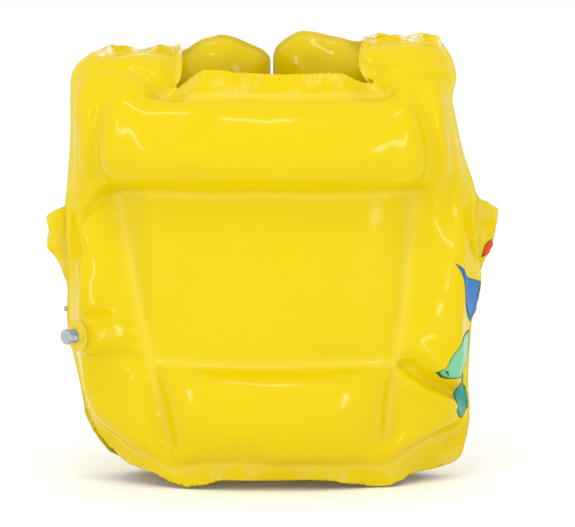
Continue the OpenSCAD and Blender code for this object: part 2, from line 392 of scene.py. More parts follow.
# %% Back pattern
back_cut = draw(
    [(-157, 34), (-146, 26), (-134, 18), (-112, 12), (-90, 3), (-68, 2), (-45, 8), (0, 7), (40, 8),
     (72, 4), (100, 0), (118, 3), (136, 8), (160, 10), (178, 18), (185, 36)],
    [(185, 36), (188, 52), (187, 68), (184, 84), (185, 100), (188, 126), (190, 151), (198, 182),
     (197, 205), (194, 235), (192, 256)],
    [(192, 256), (194, 266), (190, 284), (181, 310), (174, 340), (170, 362), (171, 378),
     (174, 395), (171, 418), (166, 436), (159, 453)],
    [(159, 453), (150, 456), (135, 452), (118, 456), (100, 453), (84, 452)],
    [(84, 452), (81, 430), (80, 412), (83, 400), (92, 391)],
    [(92, 391), (82, 392), (72, 392), (50, 392), (0, 390), (-45, 393), (-68, 394), (-82, 393),
     (-92, 391)],
    [(-92, 391), (-84, 400), (-82, 412), (-82, 430), (-84, 452)],
    [(-84, 452), (-102, 456), (-120, 451), (-140, 456), (-158, 452), (-171, 447)],
    [(-171, 447), (-181, 434), (-188, 410), (-189, 380), (-189, 340), (-191, 305), (-194, 275),
     (-196, 258)],
    [(-196, 258), (-194, 230), (-192, 200), (-192, 172), (-192, 150), (-189, 126), (-184, 106),
     (-180, 86), (-176, 66), (-168, 48), (-157, 34)])
back_seam = draw(
    [(-150, 46), (-128, 32), (-108, 25), (-92, 17), (-76, 22), (-40, 24), (0, 23), (40, 23),
     (70, 21), (105, 20), (118, 24), (145, 38), (160, 42), (176, 47)],
    [(176, 47), (184, 58), (185, 70), (182, 86), (183, 102), (186, 127), (188, 151), (196, 182),
     (195, 205), (192, 235), (190, 254)],
    [(190, 254), (191, 266), (185, 286), (177, 312), (170, 341), (166, 362), (167, 378),
     (170, 395), (167, 418), (162, 434), (155, 445)],
    [(155, 445), (120, 445), (88, 445)],
    [(88, 445), (85, 430), (84, 410), (88, 394), (98, 380), (110, 371)],
    [(110, 371), (80, 370), (40, 369), (0, 369), (-40, 369), (-80, 370), (-108, 372)],
    [(-108, 372), (-96, 382), (-88, 394), (-86, 410), (-86, 430), (-88, 445)],
    [(-88, 445), (-130, 445), (-167, 442)],
    [(-167, 442), (-177, 430), (-184, 410), (-185, 380), (-185, 340), (-187, 305), (-189, 275),
     (-191, 258)],
    [(-191, 258), (-192, 230), (-190, 200), (-190, 172), (-190, 150), (-187, 126), (-182, 106),
     (-178, 86), (-173, 68), (-164, 53), (-150, 46)])
back_welds = [
    [(-138, 277), (-60, 276), (0, 277), (60, 276), (128, 277)],
    [(-108, 120), (-60, 119), (0, 118), (60, 119), (110, 118)],
    [(-144, 274), (-133, 225), (-118, 150), (-111, 115), (-100, 70), (-93, 42)],
    [(133, 277), (128, 235), (117, 128), (111, 90), (107, 50)]]
centre_web = [(-142, 277), (131, 277), (116, 118), (-111, 118)]


def side_puff(x, q):
    """The side tubes stand out more for their width than the cushions, the shoulders less."""
    beside = smoothstep((np.abs(x) - 112) / 40) * (1 - smoothstep((q - 225) / 70))
    tube = (PUFF * 0.84 + 0.32 * beside) * (0.84 + 0.16 * smoothstep((q - 70) / 70))
    return tube * (1 - 0.3 * smoothstep((q - 310) / 90))


def front_puff(x, q):
    """The fronts' wide cells are held flatter by the straps."""
    return side_puff(x, q) - 0.04 * (1 - smoothstep((np.abs(x) - 80) / 40))


back_film = make_pillow("back_film", back_cut, back_seam, back_welds, [centre_web], False,
                        side_puff)

# %% [markdown]
# ## The fronts' patterns
# Each front has a tall chest cell with a domed top, a belly cell, a side tube that runs up into
# the shoulder, and the flat tab that sticks out under the armhole. The two fronts are drawn
# apart, because on an inflated vest no two sides lie the same way.

# %% Front patterns
front_cut = {
    1: draw(
        [(0.4, 6), (30, 3), (60, 8), (95, 3), (120, 7), (150, 10), (172, 15), (180, 24)],
        [(180, 24), (186, 42), (189, 64), (187, 90), (188, 120), (190, 152), (196, 185),
         (201, 205), (207, 217), (212, 235), (215, 257)],
        [(215, 257), (204, 264), (195, 268), (189, 286), (180, 312), (173, 341), (169, 362),
         (171, 380), (174, 398), (171, 420), (166, 436), (159, 453)],
        [(159, 453), (140, 457), (120, 453), (100, 457), (88, 452)],
        [(88, 452), (81, 436), (74, 423), (66, 416), (55, 417), (42, 420), (27, 421), (14, 415),
         (4, 406), (0.4, 396)],
        [(0.4, 396), (0.4, 300), (0.4, 200), (0.4, 100), (0.4, 6)]),
    -1: draw(
        [(0.4, 7), (28, 10), (62, 3), (92, 5), (110, 7), (128, 9), (152, 20), (166, 36)],
        [(166, 36), (175, 52), (179, 68), (183, 92), (189, 118), (194, 145), (194, 165),
         (194, 184), (203, 206), (213, 221), (211, 236), (214, 250)],
        [(214, 250), (203, 257), (193, 262), (190, 290), (189, 318), (188, 345), (188, 380),
         (186, 408), (180, 432), (171, 447)],
        [(171, 447), (150, 456), (128, 451), (104, 456), (88, 452)],
        [(88, 452), (82, 436), (76, 424), (68, 416), (60, 415), (50, 418), (36, 416), (22, 410),
         (7, 403), (0.4, 395)],
        [(0.4, 395), (0.4, 300), (0.4, 200), (0.4, 100), (0.4, 7)])}
front_seam = {
    1: draw(
        [(3.4, 27), (40, 25), (80, 26), (120, 28), (150, 31), (166, 36)],
        [(166, 36), (179, 52), (184, 72), (183, 92), (184, 122), (186, 155), (192, 190),
         (192, 225), (189, 256)],
        [(189, 256), (188, 268), (185, 288), (176, 314), (169, 342), (165, 362), (167, 380),
         (170, 398), (167, 418), (162, 434), (155, 445)],
        [(155, 445), (120, 445), (91, 445)],
        [(91, 445), (85, 433), (78, 420), (68, 412), (55, 412), (42, 415), (28, 416), (16, 410),
         (6, 402), (3.4, 392)],
        [(3.4, 392), (3.4, 200), (3.4, 27)]),
    -1: draw(
        [(3.4, 26), (40, 27), (80, 25), (108, 22), (130, 24), (146, 32), (158, 43)],
        [(158, 43), (168, 58), (174, 76), (180, 104), (186, 130), (190, 155), (190, 184),
         (190, 215), (189, 250)],
        [(189, 250), (188, 268), (186, 292), (185, 318), (184, 345), (184, 380), (182, 405),
         (176, 428), (167, 442)],
        [(167, 442), (130, 445), (91, 445)],
        [(91, 445), (86, 433), (80, 421), (70, 412), (61, 410), (50, 413), (37, 411), (24, 405),
         (9, 398), (3.4, 390)],
        [(3.4, 390), (3.4, 200), (3.4, 26)])}
front_welds = [[(20, 160), (60, 159), (106, 161)], [(99, 48), (108, 100), (118, 160), (126, 215),
                                                     (131, 258)]]


def mirrored(line, side):
    return [np.array(p) * (side, 1) for p in line]


front_film = {}
for side, word in ((-1, "left"), (1, "right")):
    front_film[side] = make_pillow(
        word + "_front_film", mirrored(front_cut[side], side), mirrored(front_seam[side], side),
        [mirrored(w, side) for w in front_welds], [], True, front_puff)

# %% Blow the three pillows up
pillows = {"back": back_film, "left_front": front_film[-1], "right_front": front_film[1]}
for pillow in pillows.values():
    blow_up(pillow)

# %% [markdown]
# ## Creases and seats
# A few folds are too large and too particular to leave to chance: the film folds where a tube
# bends sharply, at the ends of the welds and where a strap presses on a cell. Each one is a line
# on the pattern, and the outer sheet sinks along it and rises a little on both sides.

# %% Fold the film along lines
def crease(body, line, depth, width, ridge=0.35):
    """Sink the outer sheet along a line of pattern points, in millimetres."""
    piece, made = pillows[body], PATTERN[pillows[body].name]
    points, line = made["points"], np.array(smooth_line(line, 3))
    far = near_line(points, line)
    from_end = np.min([np.linalg.norm(points - end, axis=1) for end in (line[0], line[-1])], axis=0)
    reach = np.linalg.norm(line[-1] - line[0])
    fade = np.minimum(0.25 + from_end / (0.3 * reach), 1) * np.clip(made["stand"] / 8, 0, 1)
    shape = ridge * np.exp(-((far - 2 * width) / width) ** 2) - np.exp(-(far / width) ** 2)
    for i in np.flatnonzero(np.abs(shape) > 0.01):
        piece.data.vertices[i].co += Vector(made["out"][i] * (depth * fade[i] * shape[i] * MM))


for line, depth, width in (
        ([(112, 130), (124, 114), (136, 99), (154, 88), (178, 81)], 14, 6),
        ([(86, 125), (100, 129), (110, 133)], 5, 4),
        ([(113, 25), (130, 36), (147, 44), (170, 50)], 4, 5),
        ([(-90, 20), (-96, 38), (-99, 60)], 4, 5),
        ([(-144, 278), (-158, 262), (-172, 245)], 5, 4),
        ([(-150, 372), (-152, 325), (-147, 276)], 6, 9),
        ([(-169, 366), (-171, 320), (-168, 280)], 3, 6),
        ([(131, 372), (135, 320), (133, 276)], 7, 8),
        ([(154, 366), (157, 320), (153, 270), (150, 240)], 3.5, 7),
        ([(104, 376), (119, 386), (138, 390), (158, 386)], 4, 5),
        ([(84, 420), (96, 408), (100, 392)], 4, 5),
        ([(-104, 376), (-116, 392), (-134, 402)], 3, 6),
        ([(-120, 118), (-136, 100), (-152, 92)], 3, 6),
        ([(-112, 116), (-128, 126), (-146, 128)], 2.5, 5)):
    crease("back", line, depth, width)
for side, body in ((-1, "left_front"), (1, "right_front")):
    for line, depth, width in (
            ([(112, 160), (130, 150), (152, 146)], 5, 6),
            ([(96, 372), (112, 384), (136, 392)], 4, 6),
            ([(110, 48), (128, 58), (150, 62)], 4, 6),
            ([(20, 380), (34, 372), (54, 374)], 2.5, 6)):
        crease(body, mirrored(line, side), depth, width)
print("creases folded")

# %% [markdown]
# ## Places on a blown-up film
# Prints, patches and valves belong to the film, so they need places on it. A flat pattern point
# lies in one triangle of the pattern, and the same triangle of the blown-up sheet says where
# that point is now, and which way the film faces there.

# %% Let the straps press the film
STRAP_LEVELS = {}    # height of each strap's middle, in millimetres
PRESSED = 92.0       # how far forward the film may stand under a strap
for level in ("upper", "lower"):
    low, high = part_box(level + "_buckle_socket")
    STRAP_LEVELS[level] = (low[2] + high[2]) / 2 / MM
for body in ("left_front", "right_front"):
    for v in pillows[body].data.vertices:
        x, y, z = v.co / MM
        from_strap = min(abs(z - strap_z) for strap_z in STRAP_LEVELS.values())
        across = smoothstep((abs(x) - 92) / 22)
        limit = PRESSED + 14 * float(max(smoothstep((from_strap - 8) / 26), across))
        if y > limit - 3:
            v.co.y = (limit - 3 + 3 * math.tanh((y - limit + 3) / 3)) * MM
    pillows[body].data.update()
print("straps press the fronts at", STRAP_LEVELS)

# %% Places on the film
SKINS = {}           # the finished skin of each pillow, for rays
SKIN_REACH = 4       # how far off the film a ray starts, in millimetres


def skin_place(body, place, away, lift):
    """The place on the smoothed skin beside a point, lifted along the direction away."""
    if body not in SKINS:
        depsgraph = bpy.context.evaluated_depsgraph_get()
        SKINS[body] = BVHTree.FromObject(pillows[body], depsgraph)
    start = Vector(place + away * SKIN_REACH * MM)
    hit = SKINS[body].ray_cast(start, Vector(-away), 2 * SKIN_REACH * MM)[0]
    return np.array(hit if hit else place) + away * lift * MM


def on_film(body, flat_points, lift, inner=False):
    """3-D places in metres of pattern points, lifted off the outer (or inner) sheet."""
    piece, made = pillows[body], PATTERN[pillows[body].name]
    flat = made["points"]
    tree = BVHTree.FromPolygons([(*p, 0) for p in flat], made["tris"])
    co = np.array([v.co[:] for v in piece.data.vertices])
    normal = np.array([v.normal[:] for v in piece.data.vertices])
    index = made["other"] if inner else np.arange(len(flat))
    places = []
    for p in flat_points:
        near, _, tri, _ = tree.find_nearest((*p, 0))
        corners = list(made["tris"][tri])
        a, b, c = flat[corners]
        across = np.linalg.solve(np.column_stack([b - a, c - a]), np.array(near[:2]) - a)
        share = np.array([1 - across.sum(), *across])
        place, facing_out = share @ co[index[corners]], share @ normal[index[corners]]
        away = facing_out / np.linalg.norm(facing_out)
        places.append(skin_place(body, place, away, lift))
    return np.array(places)


def move_with_film(piece, body):
    """A piece on the back moves as one with it, and a piece on a front has its place baked into its
    points.
    """
    if body == "back":
        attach(piece, body)
    else:
        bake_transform(piece)


def new_piece(name, verts, faces, material=None, smooth=True):
    mesh = bpy.data.meshes.new(name)
    mesh.from_pydata([tuple(v) for v in verts], [], [tuple(map(int, f)) for f in faces])
    mesh.update()
    mesh.polygons.foreach_set("use_smooth", [smooth] * len(mesh.polygons))
    piece = bpy.data.objects.new(name, mesh)
    bpy.context.collection.objects.link(piece)
    if material:
        mesh.materials.append(material)
    return piece


def patch_on_film(name, body, outline, lift, thick, material, inner=False, spacing=3.0):
    """A thin piece that follows the film inside a pattern outline."""
    points, tris = fill_pattern(outline, [], spacing)
    turn = (1 if body == "back" else -1) * (-1 if inner else 1)
    faces = [t if turn > 0 else t[::-1] for t in tris]
    piece = new_piece(name, on_film(body, points, lift, inner), faces, material)
    shell = piece.modifiers.new("thickness", "SOLIDIFY")
    shell.thickness = thick * MM
    shell.offset = 0
    move_with_film(piece, body)
    return piece


# %% [markdown]
# ## Valve seats
# Each valve has a round collar welded to the film, and the film lies flat under it and dips
# around it. Points near the valve's axis are drawn to the collar's plane.

# %% Seat the valves
joints = {j["name"]: j for j in frame["record"]["behaviour"]["joints"]}
COLLAR_RADIUS = 13   # the film is flat this far round a valve's axis, in millimetres
SEAT_FADE = 13       # and takes this far again to reach its own shape
SEAT_BACK = 0.0011   # from the middle of the collar's box back to the film, in metres
SEAT_DEPTH = 0.0012  # how far behind that place the film is drawn, in metres


def valve_axes(name):
    """Centre of the collar, outward axis and sideways axis of a valve, in metres."""
    out = -Vector(joints[name + "_valve_push_in"]["axis"])
    low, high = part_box(name + "_valve_base")
    centre = (Vector(low) + Vector(high)) / 2
    pin = Vector(joints[name + "_valve_flap_swing"]["pos_m"])
    aside = pin - centre
    aside = (aside - out * aside.dot(out)).normalized()
    return centre - out * SEAT_BACK, out, aside


valve_body = {"back": "back", "left": "left_front", "right": "right_front"}
for name, body in valve_body.items():
    centre, out, aside = valve_axes(name)
    film = pillows[body].data
    co = np.array([v.co[:] for v in film.vertices])
    faces_out = np.array([v.normal[:] for v in film.vertices]) @ np.array(out)
    height = (co - np.array(centre)) @ np.array(out)
    radius = np.linalg.norm(co - np.array(centre) - height[:, None] * np.array(out), axis=1) / MM
    pull = (1 - smoothstep((radius - COLLAR_RADIUS) / SEAT_FADE)) * smoothstep((faces_out - 0.05) / 0.3)
    pull *= smoothstep((height + 0.05) / 0.02)
    co += np.array(out) * (pull * (-SEAT_DEPTH - height))[:, None]
    film.vertices.foreach_set("co", co.ravel())
    film.update()
    print(name, "valve seated")

# %% [markdown]
# ## Vinyl, in a node group
# Soft vinyl film has almost no texture, so what makes it look real is small: a slow drift in
# how deep the yellow is, a faint ripple that breaks up its reflections, welds that are
# pressed smoother and a little paler than the rest, and pale glints painted onto the crinkled
# hem film as a painted highlight. The group works those out from the object's own coordinates
# and values painted on the points for the welds and the glints, and the shader itself stays in each
# material.

# %% Node helpers and the film group
def link(tree, source, target):
    tree.links.new(source, target)


def new_group(name, inputs, outputs):
    """A shader node group with named sockets; its group input and output nodes come with it."""
    tree = bpy.data.node_groups.new(name, "ShaderNodeTree")
    for label, kind, value in inputs:
        socket = tree.interface.new_socket(label, in_out="INPUT", socket_type=kind)
        socket.default_value = value
    for label, kind in outputs:
        tree.interface.new_socket(label, in_out="OUTPUT", socket_type=kind)
    return tree, tree.nodes.new("NodeGroupInput"), tree.nodes.new("NodeGroupOutput")


def node(tree, kind, **settings):
    """A node with its settings; a setting that is an input's name sets that input."""
    made = tree.nodes.new(kind)
    for key, value in settings.items():
        if hasattr(made, key):
            setattr(made, key, value)
        else:
            made.inputs[key.replace("_", " ")].default_value = value
    return made


def math_node(tree, operation, a, b):
    made = tree.nodes.new("ShaderNodeMath")
    made.operation = operation
    for socket, value in zip(made.inputs, (a, b)):
        if isinstance(value, (int, float)):
            socket.default_value = value
        else:
            link(tree, value, socket)
    return made.outputs[0]


def mix_colour(tree, factor, a, b):
    made = tree.nodes.new("ShaderNodeMix")
    made.data_type = "RGBA"
    for socket, value in ((made.inputs[0], factor), (made.inputs[6], a), (made.inputs[7], b)):
        if isinstance(value, (tuple, int, float)):
            socket.default_value = value
        else:
            link(tree, value, socket)
    return made.outputs[2]


def build_film_group():
    tree, given, result = new_group(
        "soft_film",
        [("Colour", "NodeSocketColor", (0.9, 0.7, 0.01, 1)),
         ("Deep Colour", "NodeSocketColor", (0.8, 0.55, 0.01, 1)),
         ("Weld Colour", "NodeSocketColor", (0.95, 0.85, 0.35, 1)),
         ("Drift", "NodeSocketFloat", 0.3),
         ("Gloss", "NodeSocketFloat", 0.2),
         ("Grain", "NodeSocketFloat", 0.3)],
        [("Colour", "NodeSocketColor"), ("Roughness", "NodeSocketFloat"),
         ("Height", "NodeSocketFloat")])
    where = tree.nodes.new("ShaderNodeTexCoord").outputs["Object"]
    clouds = node(tree, "ShaderNodeTexNoise", Scale=9.0, Detail=3.0)
    ripple = node(tree, "ShaderNodeTexNoise", Scale=42.0, Detail=2.0)
    pores = node(tree, "ShaderNodeTexNoise", Scale=900.0, Detail=2.0)
    for texture in (clouds, ripple, pores):
        link(tree, where, texture.inputs["Vector"])
    weld = node(tree, "ShaderNodeAttribute", attribute_name="weld").outputs["Fac"]
    crinkle_glint = node(tree, "ShaderNodeAttribute", attribute_name="crinkle_glint").outputs["Fac"]
    deep = math_node(tree, "MULTIPLY", clouds.outputs[0], given.outputs["Drift"])
    colour = mix_colour(tree, deep, given.outputs["Colour"], given.outputs["Deep Colour"])
    colour = mix_colour(tree, math_node(tree, "MULTIPLY", weld, 0.35), colour,
                        given.outputs["Weld Colour"])
    # Painted highlight: the crinkle value mixes pale glints into the yellow in streaky patches,
    # standing in for light catching crinkled film.
    streaks = node(tree, "ShaderNodeTexNoise", Scale=160.0, Detail=4.0)
    link(tree, where, streaks.inputs["Vector"])
    glint_patches = math_node(tree, "GREATER_THAN", streaks.outputs[0], 0.5)
    painted_glint = math_node(tree, "MULTIPLY", crinkle_glint, math_node(tree, "ADD", 0.35, glint_patches))
    colour = mix_colour(tree, math_node(tree, "MINIMUM", painted_glint, 0.8), colour,
                        (0.87, 0.84, 0.70, 1))
    rough = math_node(tree, "ADD", given.outputs["Gloss"],
                      math_node(tree, "MULTIPLY", clouds.outputs[0], 0.06))
    height = math_node(tree, "MULTIPLY", pores.outputs[0], given.outputs["Grain"])
    height = math_node(tree, "ADD", height, math_node(tree, "MULTIPLY", ripple.outputs[0], 3.0))
    link(tree, colour, result.inputs["Colour"])
    link(tree, rough, result.inputs["Roughness"])
    link(tree, height, result.inputs["Height"])
    return tree


FILM_GROUP = build_film_group()
print("film group has", len(FILM_GROUP.nodes), "nodes")


def group_material(name, group, values, strength, distance):
    """A material whose colour, roughness and relief come from a group: it and its shader."""
    made = bpy.data.materials.new(name)
    made.use_nodes = True
    tree = made.node_tree
    shader = tree.nodes["Principled BSDF"]
    finish = tree.nodes.new("ShaderNodeGroup")
    finish.node_tree = group
    for label, value in values.items():
        finish.inputs[label].default_value = (*value, 1) if isinstance(value, tuple) else value
    relief = node(tree, "ShaderNodeBump", Strength=strength, Distance=distance)
    link(tree, finish.outputs["Colour"], shader.inputs["Base Color"])
    link(tree, finish.outputs["Roughness"], shader.inputs["Roughness"])
    link(tree, finish.outputs["Height"], relief.inputs["Height"])
    link(tree, relief.outputs["Normal"], shader.inputs["Normal"])
    return made, shader


def film_material(name, colour, deep, weld, gloss=0.09, drift=0.35, bump=0.00012):
    """A vinyl film or an ink printed on it."""
    made, shader = group_material(
        name, FILM_GROUP, {"Colour": colour, "Deep Colour": deep, "Weld Colour": weld,
                           "Gloss": gloss, "Drift": drift}, 0.5, bump)
    shader.inputs["IOR"].default_value = 1.5
    shader.inputs["Specular IOR Level"].default_value = 0.16
    return made


yellow_film = film_material("yellow_vinyl", (0.724, 0.55, 0.001), (0.665, 0.468, 0.001),
                            (0.81, 0.68, 0.10))

# %% [markdown]
# ## Finish the three pillows
# The welds were painted as a point value when each pillow was made. One level of subdivision
# rounds off the triangles of the pattern. The films stand for all the air cells, hems and folds.

# %% Film finish and places
def finish_pillow(piece, body, *nodes):
    piece.data.materials.append(yellow_film)
    piece.data.polygons.foreach_set("use_smooth", [True] * len(piece.data.polygons))
    smooth = piece.modifiers.new("smooth", "SUBSURF")
    smooth.levels = smooth.render_levels = 1
    move_with_film(piece, body)
    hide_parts(*nodes)
    co = np.array([v.co[:] for v in piece.data.vertices]) * 1000
    print(piece.name, "reaches from", co.min(0).round(), "to", co.max(0).round(), "mm")


finish_pillow(back_film, "back", "back_upper_cell", "back_lower_cell", "back_left_side_cell",
              "back_right_side_cell", "back_centre_panel", "back_left_shoulder_cell",
              "back_right_shoulder_cell", "back_collar", "back_hem", "left_side_fold",
              "right_side_fold")
for side, word in ((-1, "left"), (1, "right")):
    finish_pillow(front_film[side], word + "_front",
                  *[f"{word}_{part}" for part in ("chest_cell", "belly_cell", "front_side_cell",
                                                  "front_shoulder_cell", "front_edge",
                                                  "front_hem", "armhole_tab")])


# %% [markdown]
# ## Prints
# The vest is printed in flat colours before it is welded, so a print bends with the film. Each
# is a thin patch half a millimetre over the yellow, which is more than real ink, so that the
# two never touch. A slightly larger dark green one under it shows as its outline. The shapes
# are plain leaves, fins, drops and darts.

# %% Inks
INKS = {"blue_ink": ((0.010, 0.155, 0.48), (0.006, 0.10, 0.36)),
        "mint_ink": ((0.20, 0.56, 0.33), (0.14, 0.45, 0.26)),
        "teal_ink": ((0.028, 0.31, 0.235), (0.012, 0.20, 0.16)),
        "red_ink": ((0.76, 0.075, 0.018), (0.60, 0.05, 0.012)),
        "green_ink": ((0.018, 0.16, 0.05), (0.012, 0.11, 0.035))}
inks = {name: film_material(name, colour, deep, colour, gloss=0.2) for name, (colour, deep)
        in INKS.items()}


PRINT_THICK = 0.1    # millimetres, as are the next three
PRINT_LIFT = 0.5
OUTLINE_LIFT = 0.3
OUTLINE_BORDER = 1.1


def widened(outline, by):
    """The outline made larger by a border, in millimetres, with no crossing at its tips."""
    line = np.array(outline)
    low, high = line.min(0), line.max(0)
    return list((line - (low + high) / 2) * (1 + 2 * by / (high - low)) + (low + high) / 2)


def print_shape(name, body, stretches, ink, inner=False, side=1):
    """A printed shape and its outline, from smooth stretches of pattern points."""
    outline = [np.array(p) for p in draw_fine(*[mirrored(s, side) for s in stretches])]
    patch_on_film(name + "_outline", body, widened(outline, OUTLINE_BORDER), OUTLINE_LIFT,
                  PRINT_THICK, inks["green_ink"], inner)
    patch_on_film(name, body, outline, PRINT_LIFT, PRINT_THICK, inks[ink], inner)


def draw_fine(*stretches):
    out = []
    for s in stretches:
        out += smooth_line(s, 3.0)[:-1]
    return out


# %% The printed shapes
dart = [[(152, 208), (163, 194), (174, 176), (186, 150)],
        [(186, 150), (193, 166), (196, 187)], [(196, 187), (176, 196), (152, 208)]]
leaf = [[(138, 108), (150, 124), (166, 136), (185, 141)],
        [(185, 141), (184, 122), (180, 110)], [(180, 110), (162, 103), (145, 102), (138, 108)]]
fin = [[(174, 103), (179, 92), (184, 82), (184, 68)], [(184, 68), (174, 61), (160, 70)],
       [(160, 70), (168, 86), (174, 103)]]
print_shape("blue_dart", "back", dart, "blue_ink")
print_shape("mint_leaf", "back", leaf, "mint_ink")
print_shape("teal_fin", "back", fin, "teal_ink")
print_shape("tab_print", "right_front",
            [[(199, 211), (202, 222), (208, 227)], [(208, 227), (210, 218), (199, 211)]],
            "red_ink", inner=True)
for side, body in ((-1, "left_front"), (1, "right_front")):
    word = body.split("_")[0]
    for name, ink, shapes in (
            ("front_leaf", "mint_ink", [[(22, 196), (34, 214), (56, 220), (80, 212)],
                                        [(80, 212), (66, 196), (44, 188), (22, 196)]]),
            ("front_fin", "teal_ink", [[(30, 344), (44, 352), (62, 350), (80, 336)],
                                       [(80, 336), (60, 330), (42, 332), (30, 344)]]),
            ("front_dart", "blue_ink", [[(20, 60), (40, 74), (64, 78), (92, 72)],
                                        [(92, 72), (70, 58), (46, 54), (20, 60)]]),
            ("front_drop", "red_ink", [[(34, 306), (46, 316), (62, 312)],
                                       [(62, 312), (54, 300), (34, 306)]])):
        print_shape(word + "_" + name, body, shapes, ink, side=side)

# %% [markdown]
# ## Webbing
# The straps are flat nylon tape, woven with ribs across it and a thicker selvedge at each edge.
# Tape is a swept strip: a route through space, a width, and rounded edges. The weave is a node
# group, so that every strap has threads of the same size.

# %% Weave and tape
def build_weave_group():
    tree, given, result = new_group(
        "tape_weave",
        [("Colour", "NodeSocketColor", (0.8, 0.8, 0.78, 1)),
         ("Shadow", "NodeSocketColor", (0.5, 0.5, 0.48, 1)),
         ("Ribs", "NodeSocketFloat", 4200.0), ("Rows", "NodeSocketFloat", 3600.0)],
        [("Colour", "NodeSocketColor"), ("Roughness", "NodeSocketFloat"),
         ("Height", "NodeSocketFloat")])
    where = tree.nodes.new("ShaderNodeTexCoord").outputs["Object"]
    split = tree.nodes.new("ShaderNodeSeparateXYZ")
    link(tree, where, split.inputs[0])
    ribs = math_node(tree, "SINE", math_node(tree, "MULTIPLY", split.outputs[0],
                                             given.outputs["Ribs"]), 0)
    rows = math_node(tree, "SINE", math_node(tree, "MULTIPLY", split.outputs[2],
                                             given.outputs["Rows"]), 0)
    threads = math_node(tree, "MULTIPLY", ribs, rows)
    fuzz = node(tree, "ShaderNodeTexNoise", Scale=1400.0, Detail=3.0)
    link(tree, where, fuzz.inputs["Vector"])
    height = math_node(tree, "ADD", threads, fuzz.outputs[0])
    shade = math_node(tree, "MULTIPLY", math_node(tree, "ADD", height, 1.0), 0.35)
    link(tree, mix_colour(tree, shade, given.outputs["Shadow"], given.outputs["Colour"]),
         result.inputs["Colour"])
    link(tree, math_node(tree, "ADD", 0.72, math_node(tree, "MULTIPLY", fuzz.outputs[0], 0.2)),
         result.inputs["Roughness"])
    link(tree, height, result.inputs["Height"])
    return tree


WEAVE_GROUP = build_weave_group()


def woven_material(name, colour, shadow):
    made, shader = group_material(name, WEAVE_GROUP, {"Colour": colour, "Shadow": shadow},
                                  0.7, 0.0003)
    shader.inputs["Sheen Weight"].default_value = 0.25
    return made


tape_nylon = woven_material("tape_nylon", (0.84, 0.84, 0.81), (0.58, 0.58, 0.56))
thread = woven_material("thread", (0.90, 0.72, 0.05), (0.70, 0.52, 0.03))


def tape(name, route, z, width=20.0, thick=1.3):
    """Flat tape along a route of x, y points in millimetres, lying across z."""
    line = np.array(smooth_line(route, 1.6))
    half, edge = thick / 2, width / 2
    ring = [(-edge, -0.3 * half), (-edge + 0.5, -half * 1.15), (-edge + 1.6, -half * 1.15),
            (-edge + 2.2, -half), (0, -half), (edge - 2.2, -half), (edge - 1.6, -half * 1.15),
            (edge - 0.5, -half * 1.15), (edge, -0.3 * half)]
    ring += [(w, -h) for w, h in ring[::-1]]
    verts = [np.array([*(p + n * h), z + w]) * MM for p, n in zip(line, sideways(line))
             for w, h in ring]
    piece = new_piece(name, verts, tube_faces(len(line), len(ring)), tape_nylon)
    face_outwards(piece.data)
    return piece


print("tape ready")

# %% [markdown]
# ## Patches and straps
# A strap is sewn to a small film patch that is welded to the front, because a needle must never
# go through an air cell. The patch follows the film. The tape leaves it level, and on the
# wearer's right it goes up through the plug's frame, over its bar, and back out as a loose tail.

# %% Patches, straps and stitches
def rounded(cx, cz, half_w, half_h, r=5.0):
    """A rectangle with round corners, as pattern points."""
    corners = ((1, 1, 0), (-1, 1, 90), (-1, -1, 180), (1, -1, 270))
    return [np.array((cx + sx * (half_w - r) + r * math.cos(math.radians(start + t)),
                      cz + sz * (half_h - r) + r * math.sin(math.radians(start + t))))
            for sx, sz, start in corners for t in (0, 30, 60, 90)]


def stitches(name, body, corners, y_of, pitch=3.2):
    """Short thread stitches along a closed line of x, z corners."""
    verts, faces = [], []
    for (x0, z0), (x1, z1) in zip(corners, corners[1:]):
        length = math.hypot(x1 - x0, z1 - z0)
        for k in range(int(length / pitch)):
            middle_at = (k + 0.5) * pitch / length
            x, z = x0 + (x1 - x0) * middle_at, z0 + (z1 - z0) * middle_at
            ux, uz = (x1 - x0) / length, (z1 - z0) / length
            base = len(verts)
            for t, r, lift in ((-1.1, 0.1, -0.25), (-0.7, 0.33, 0.05), (0, 0.36, 0.2),
                               (0.7, 0.33, 0.05), (1.1, 0.1, -0.25)):
                for a in range(6):
                    s, c = math.sin(a * math.pi / 3) * r, math.cos(a * math.pi / 3) * r
                    verts.append(np.array((x + ux * t - uz * s, y_of(x) + lift + c,
                                           z + uz * t + ux * s)) * MM)
            faces += tube_faces(5, 6, base)
    piece = new_piece(name, verts, faces, thread)
    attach(piece, body)


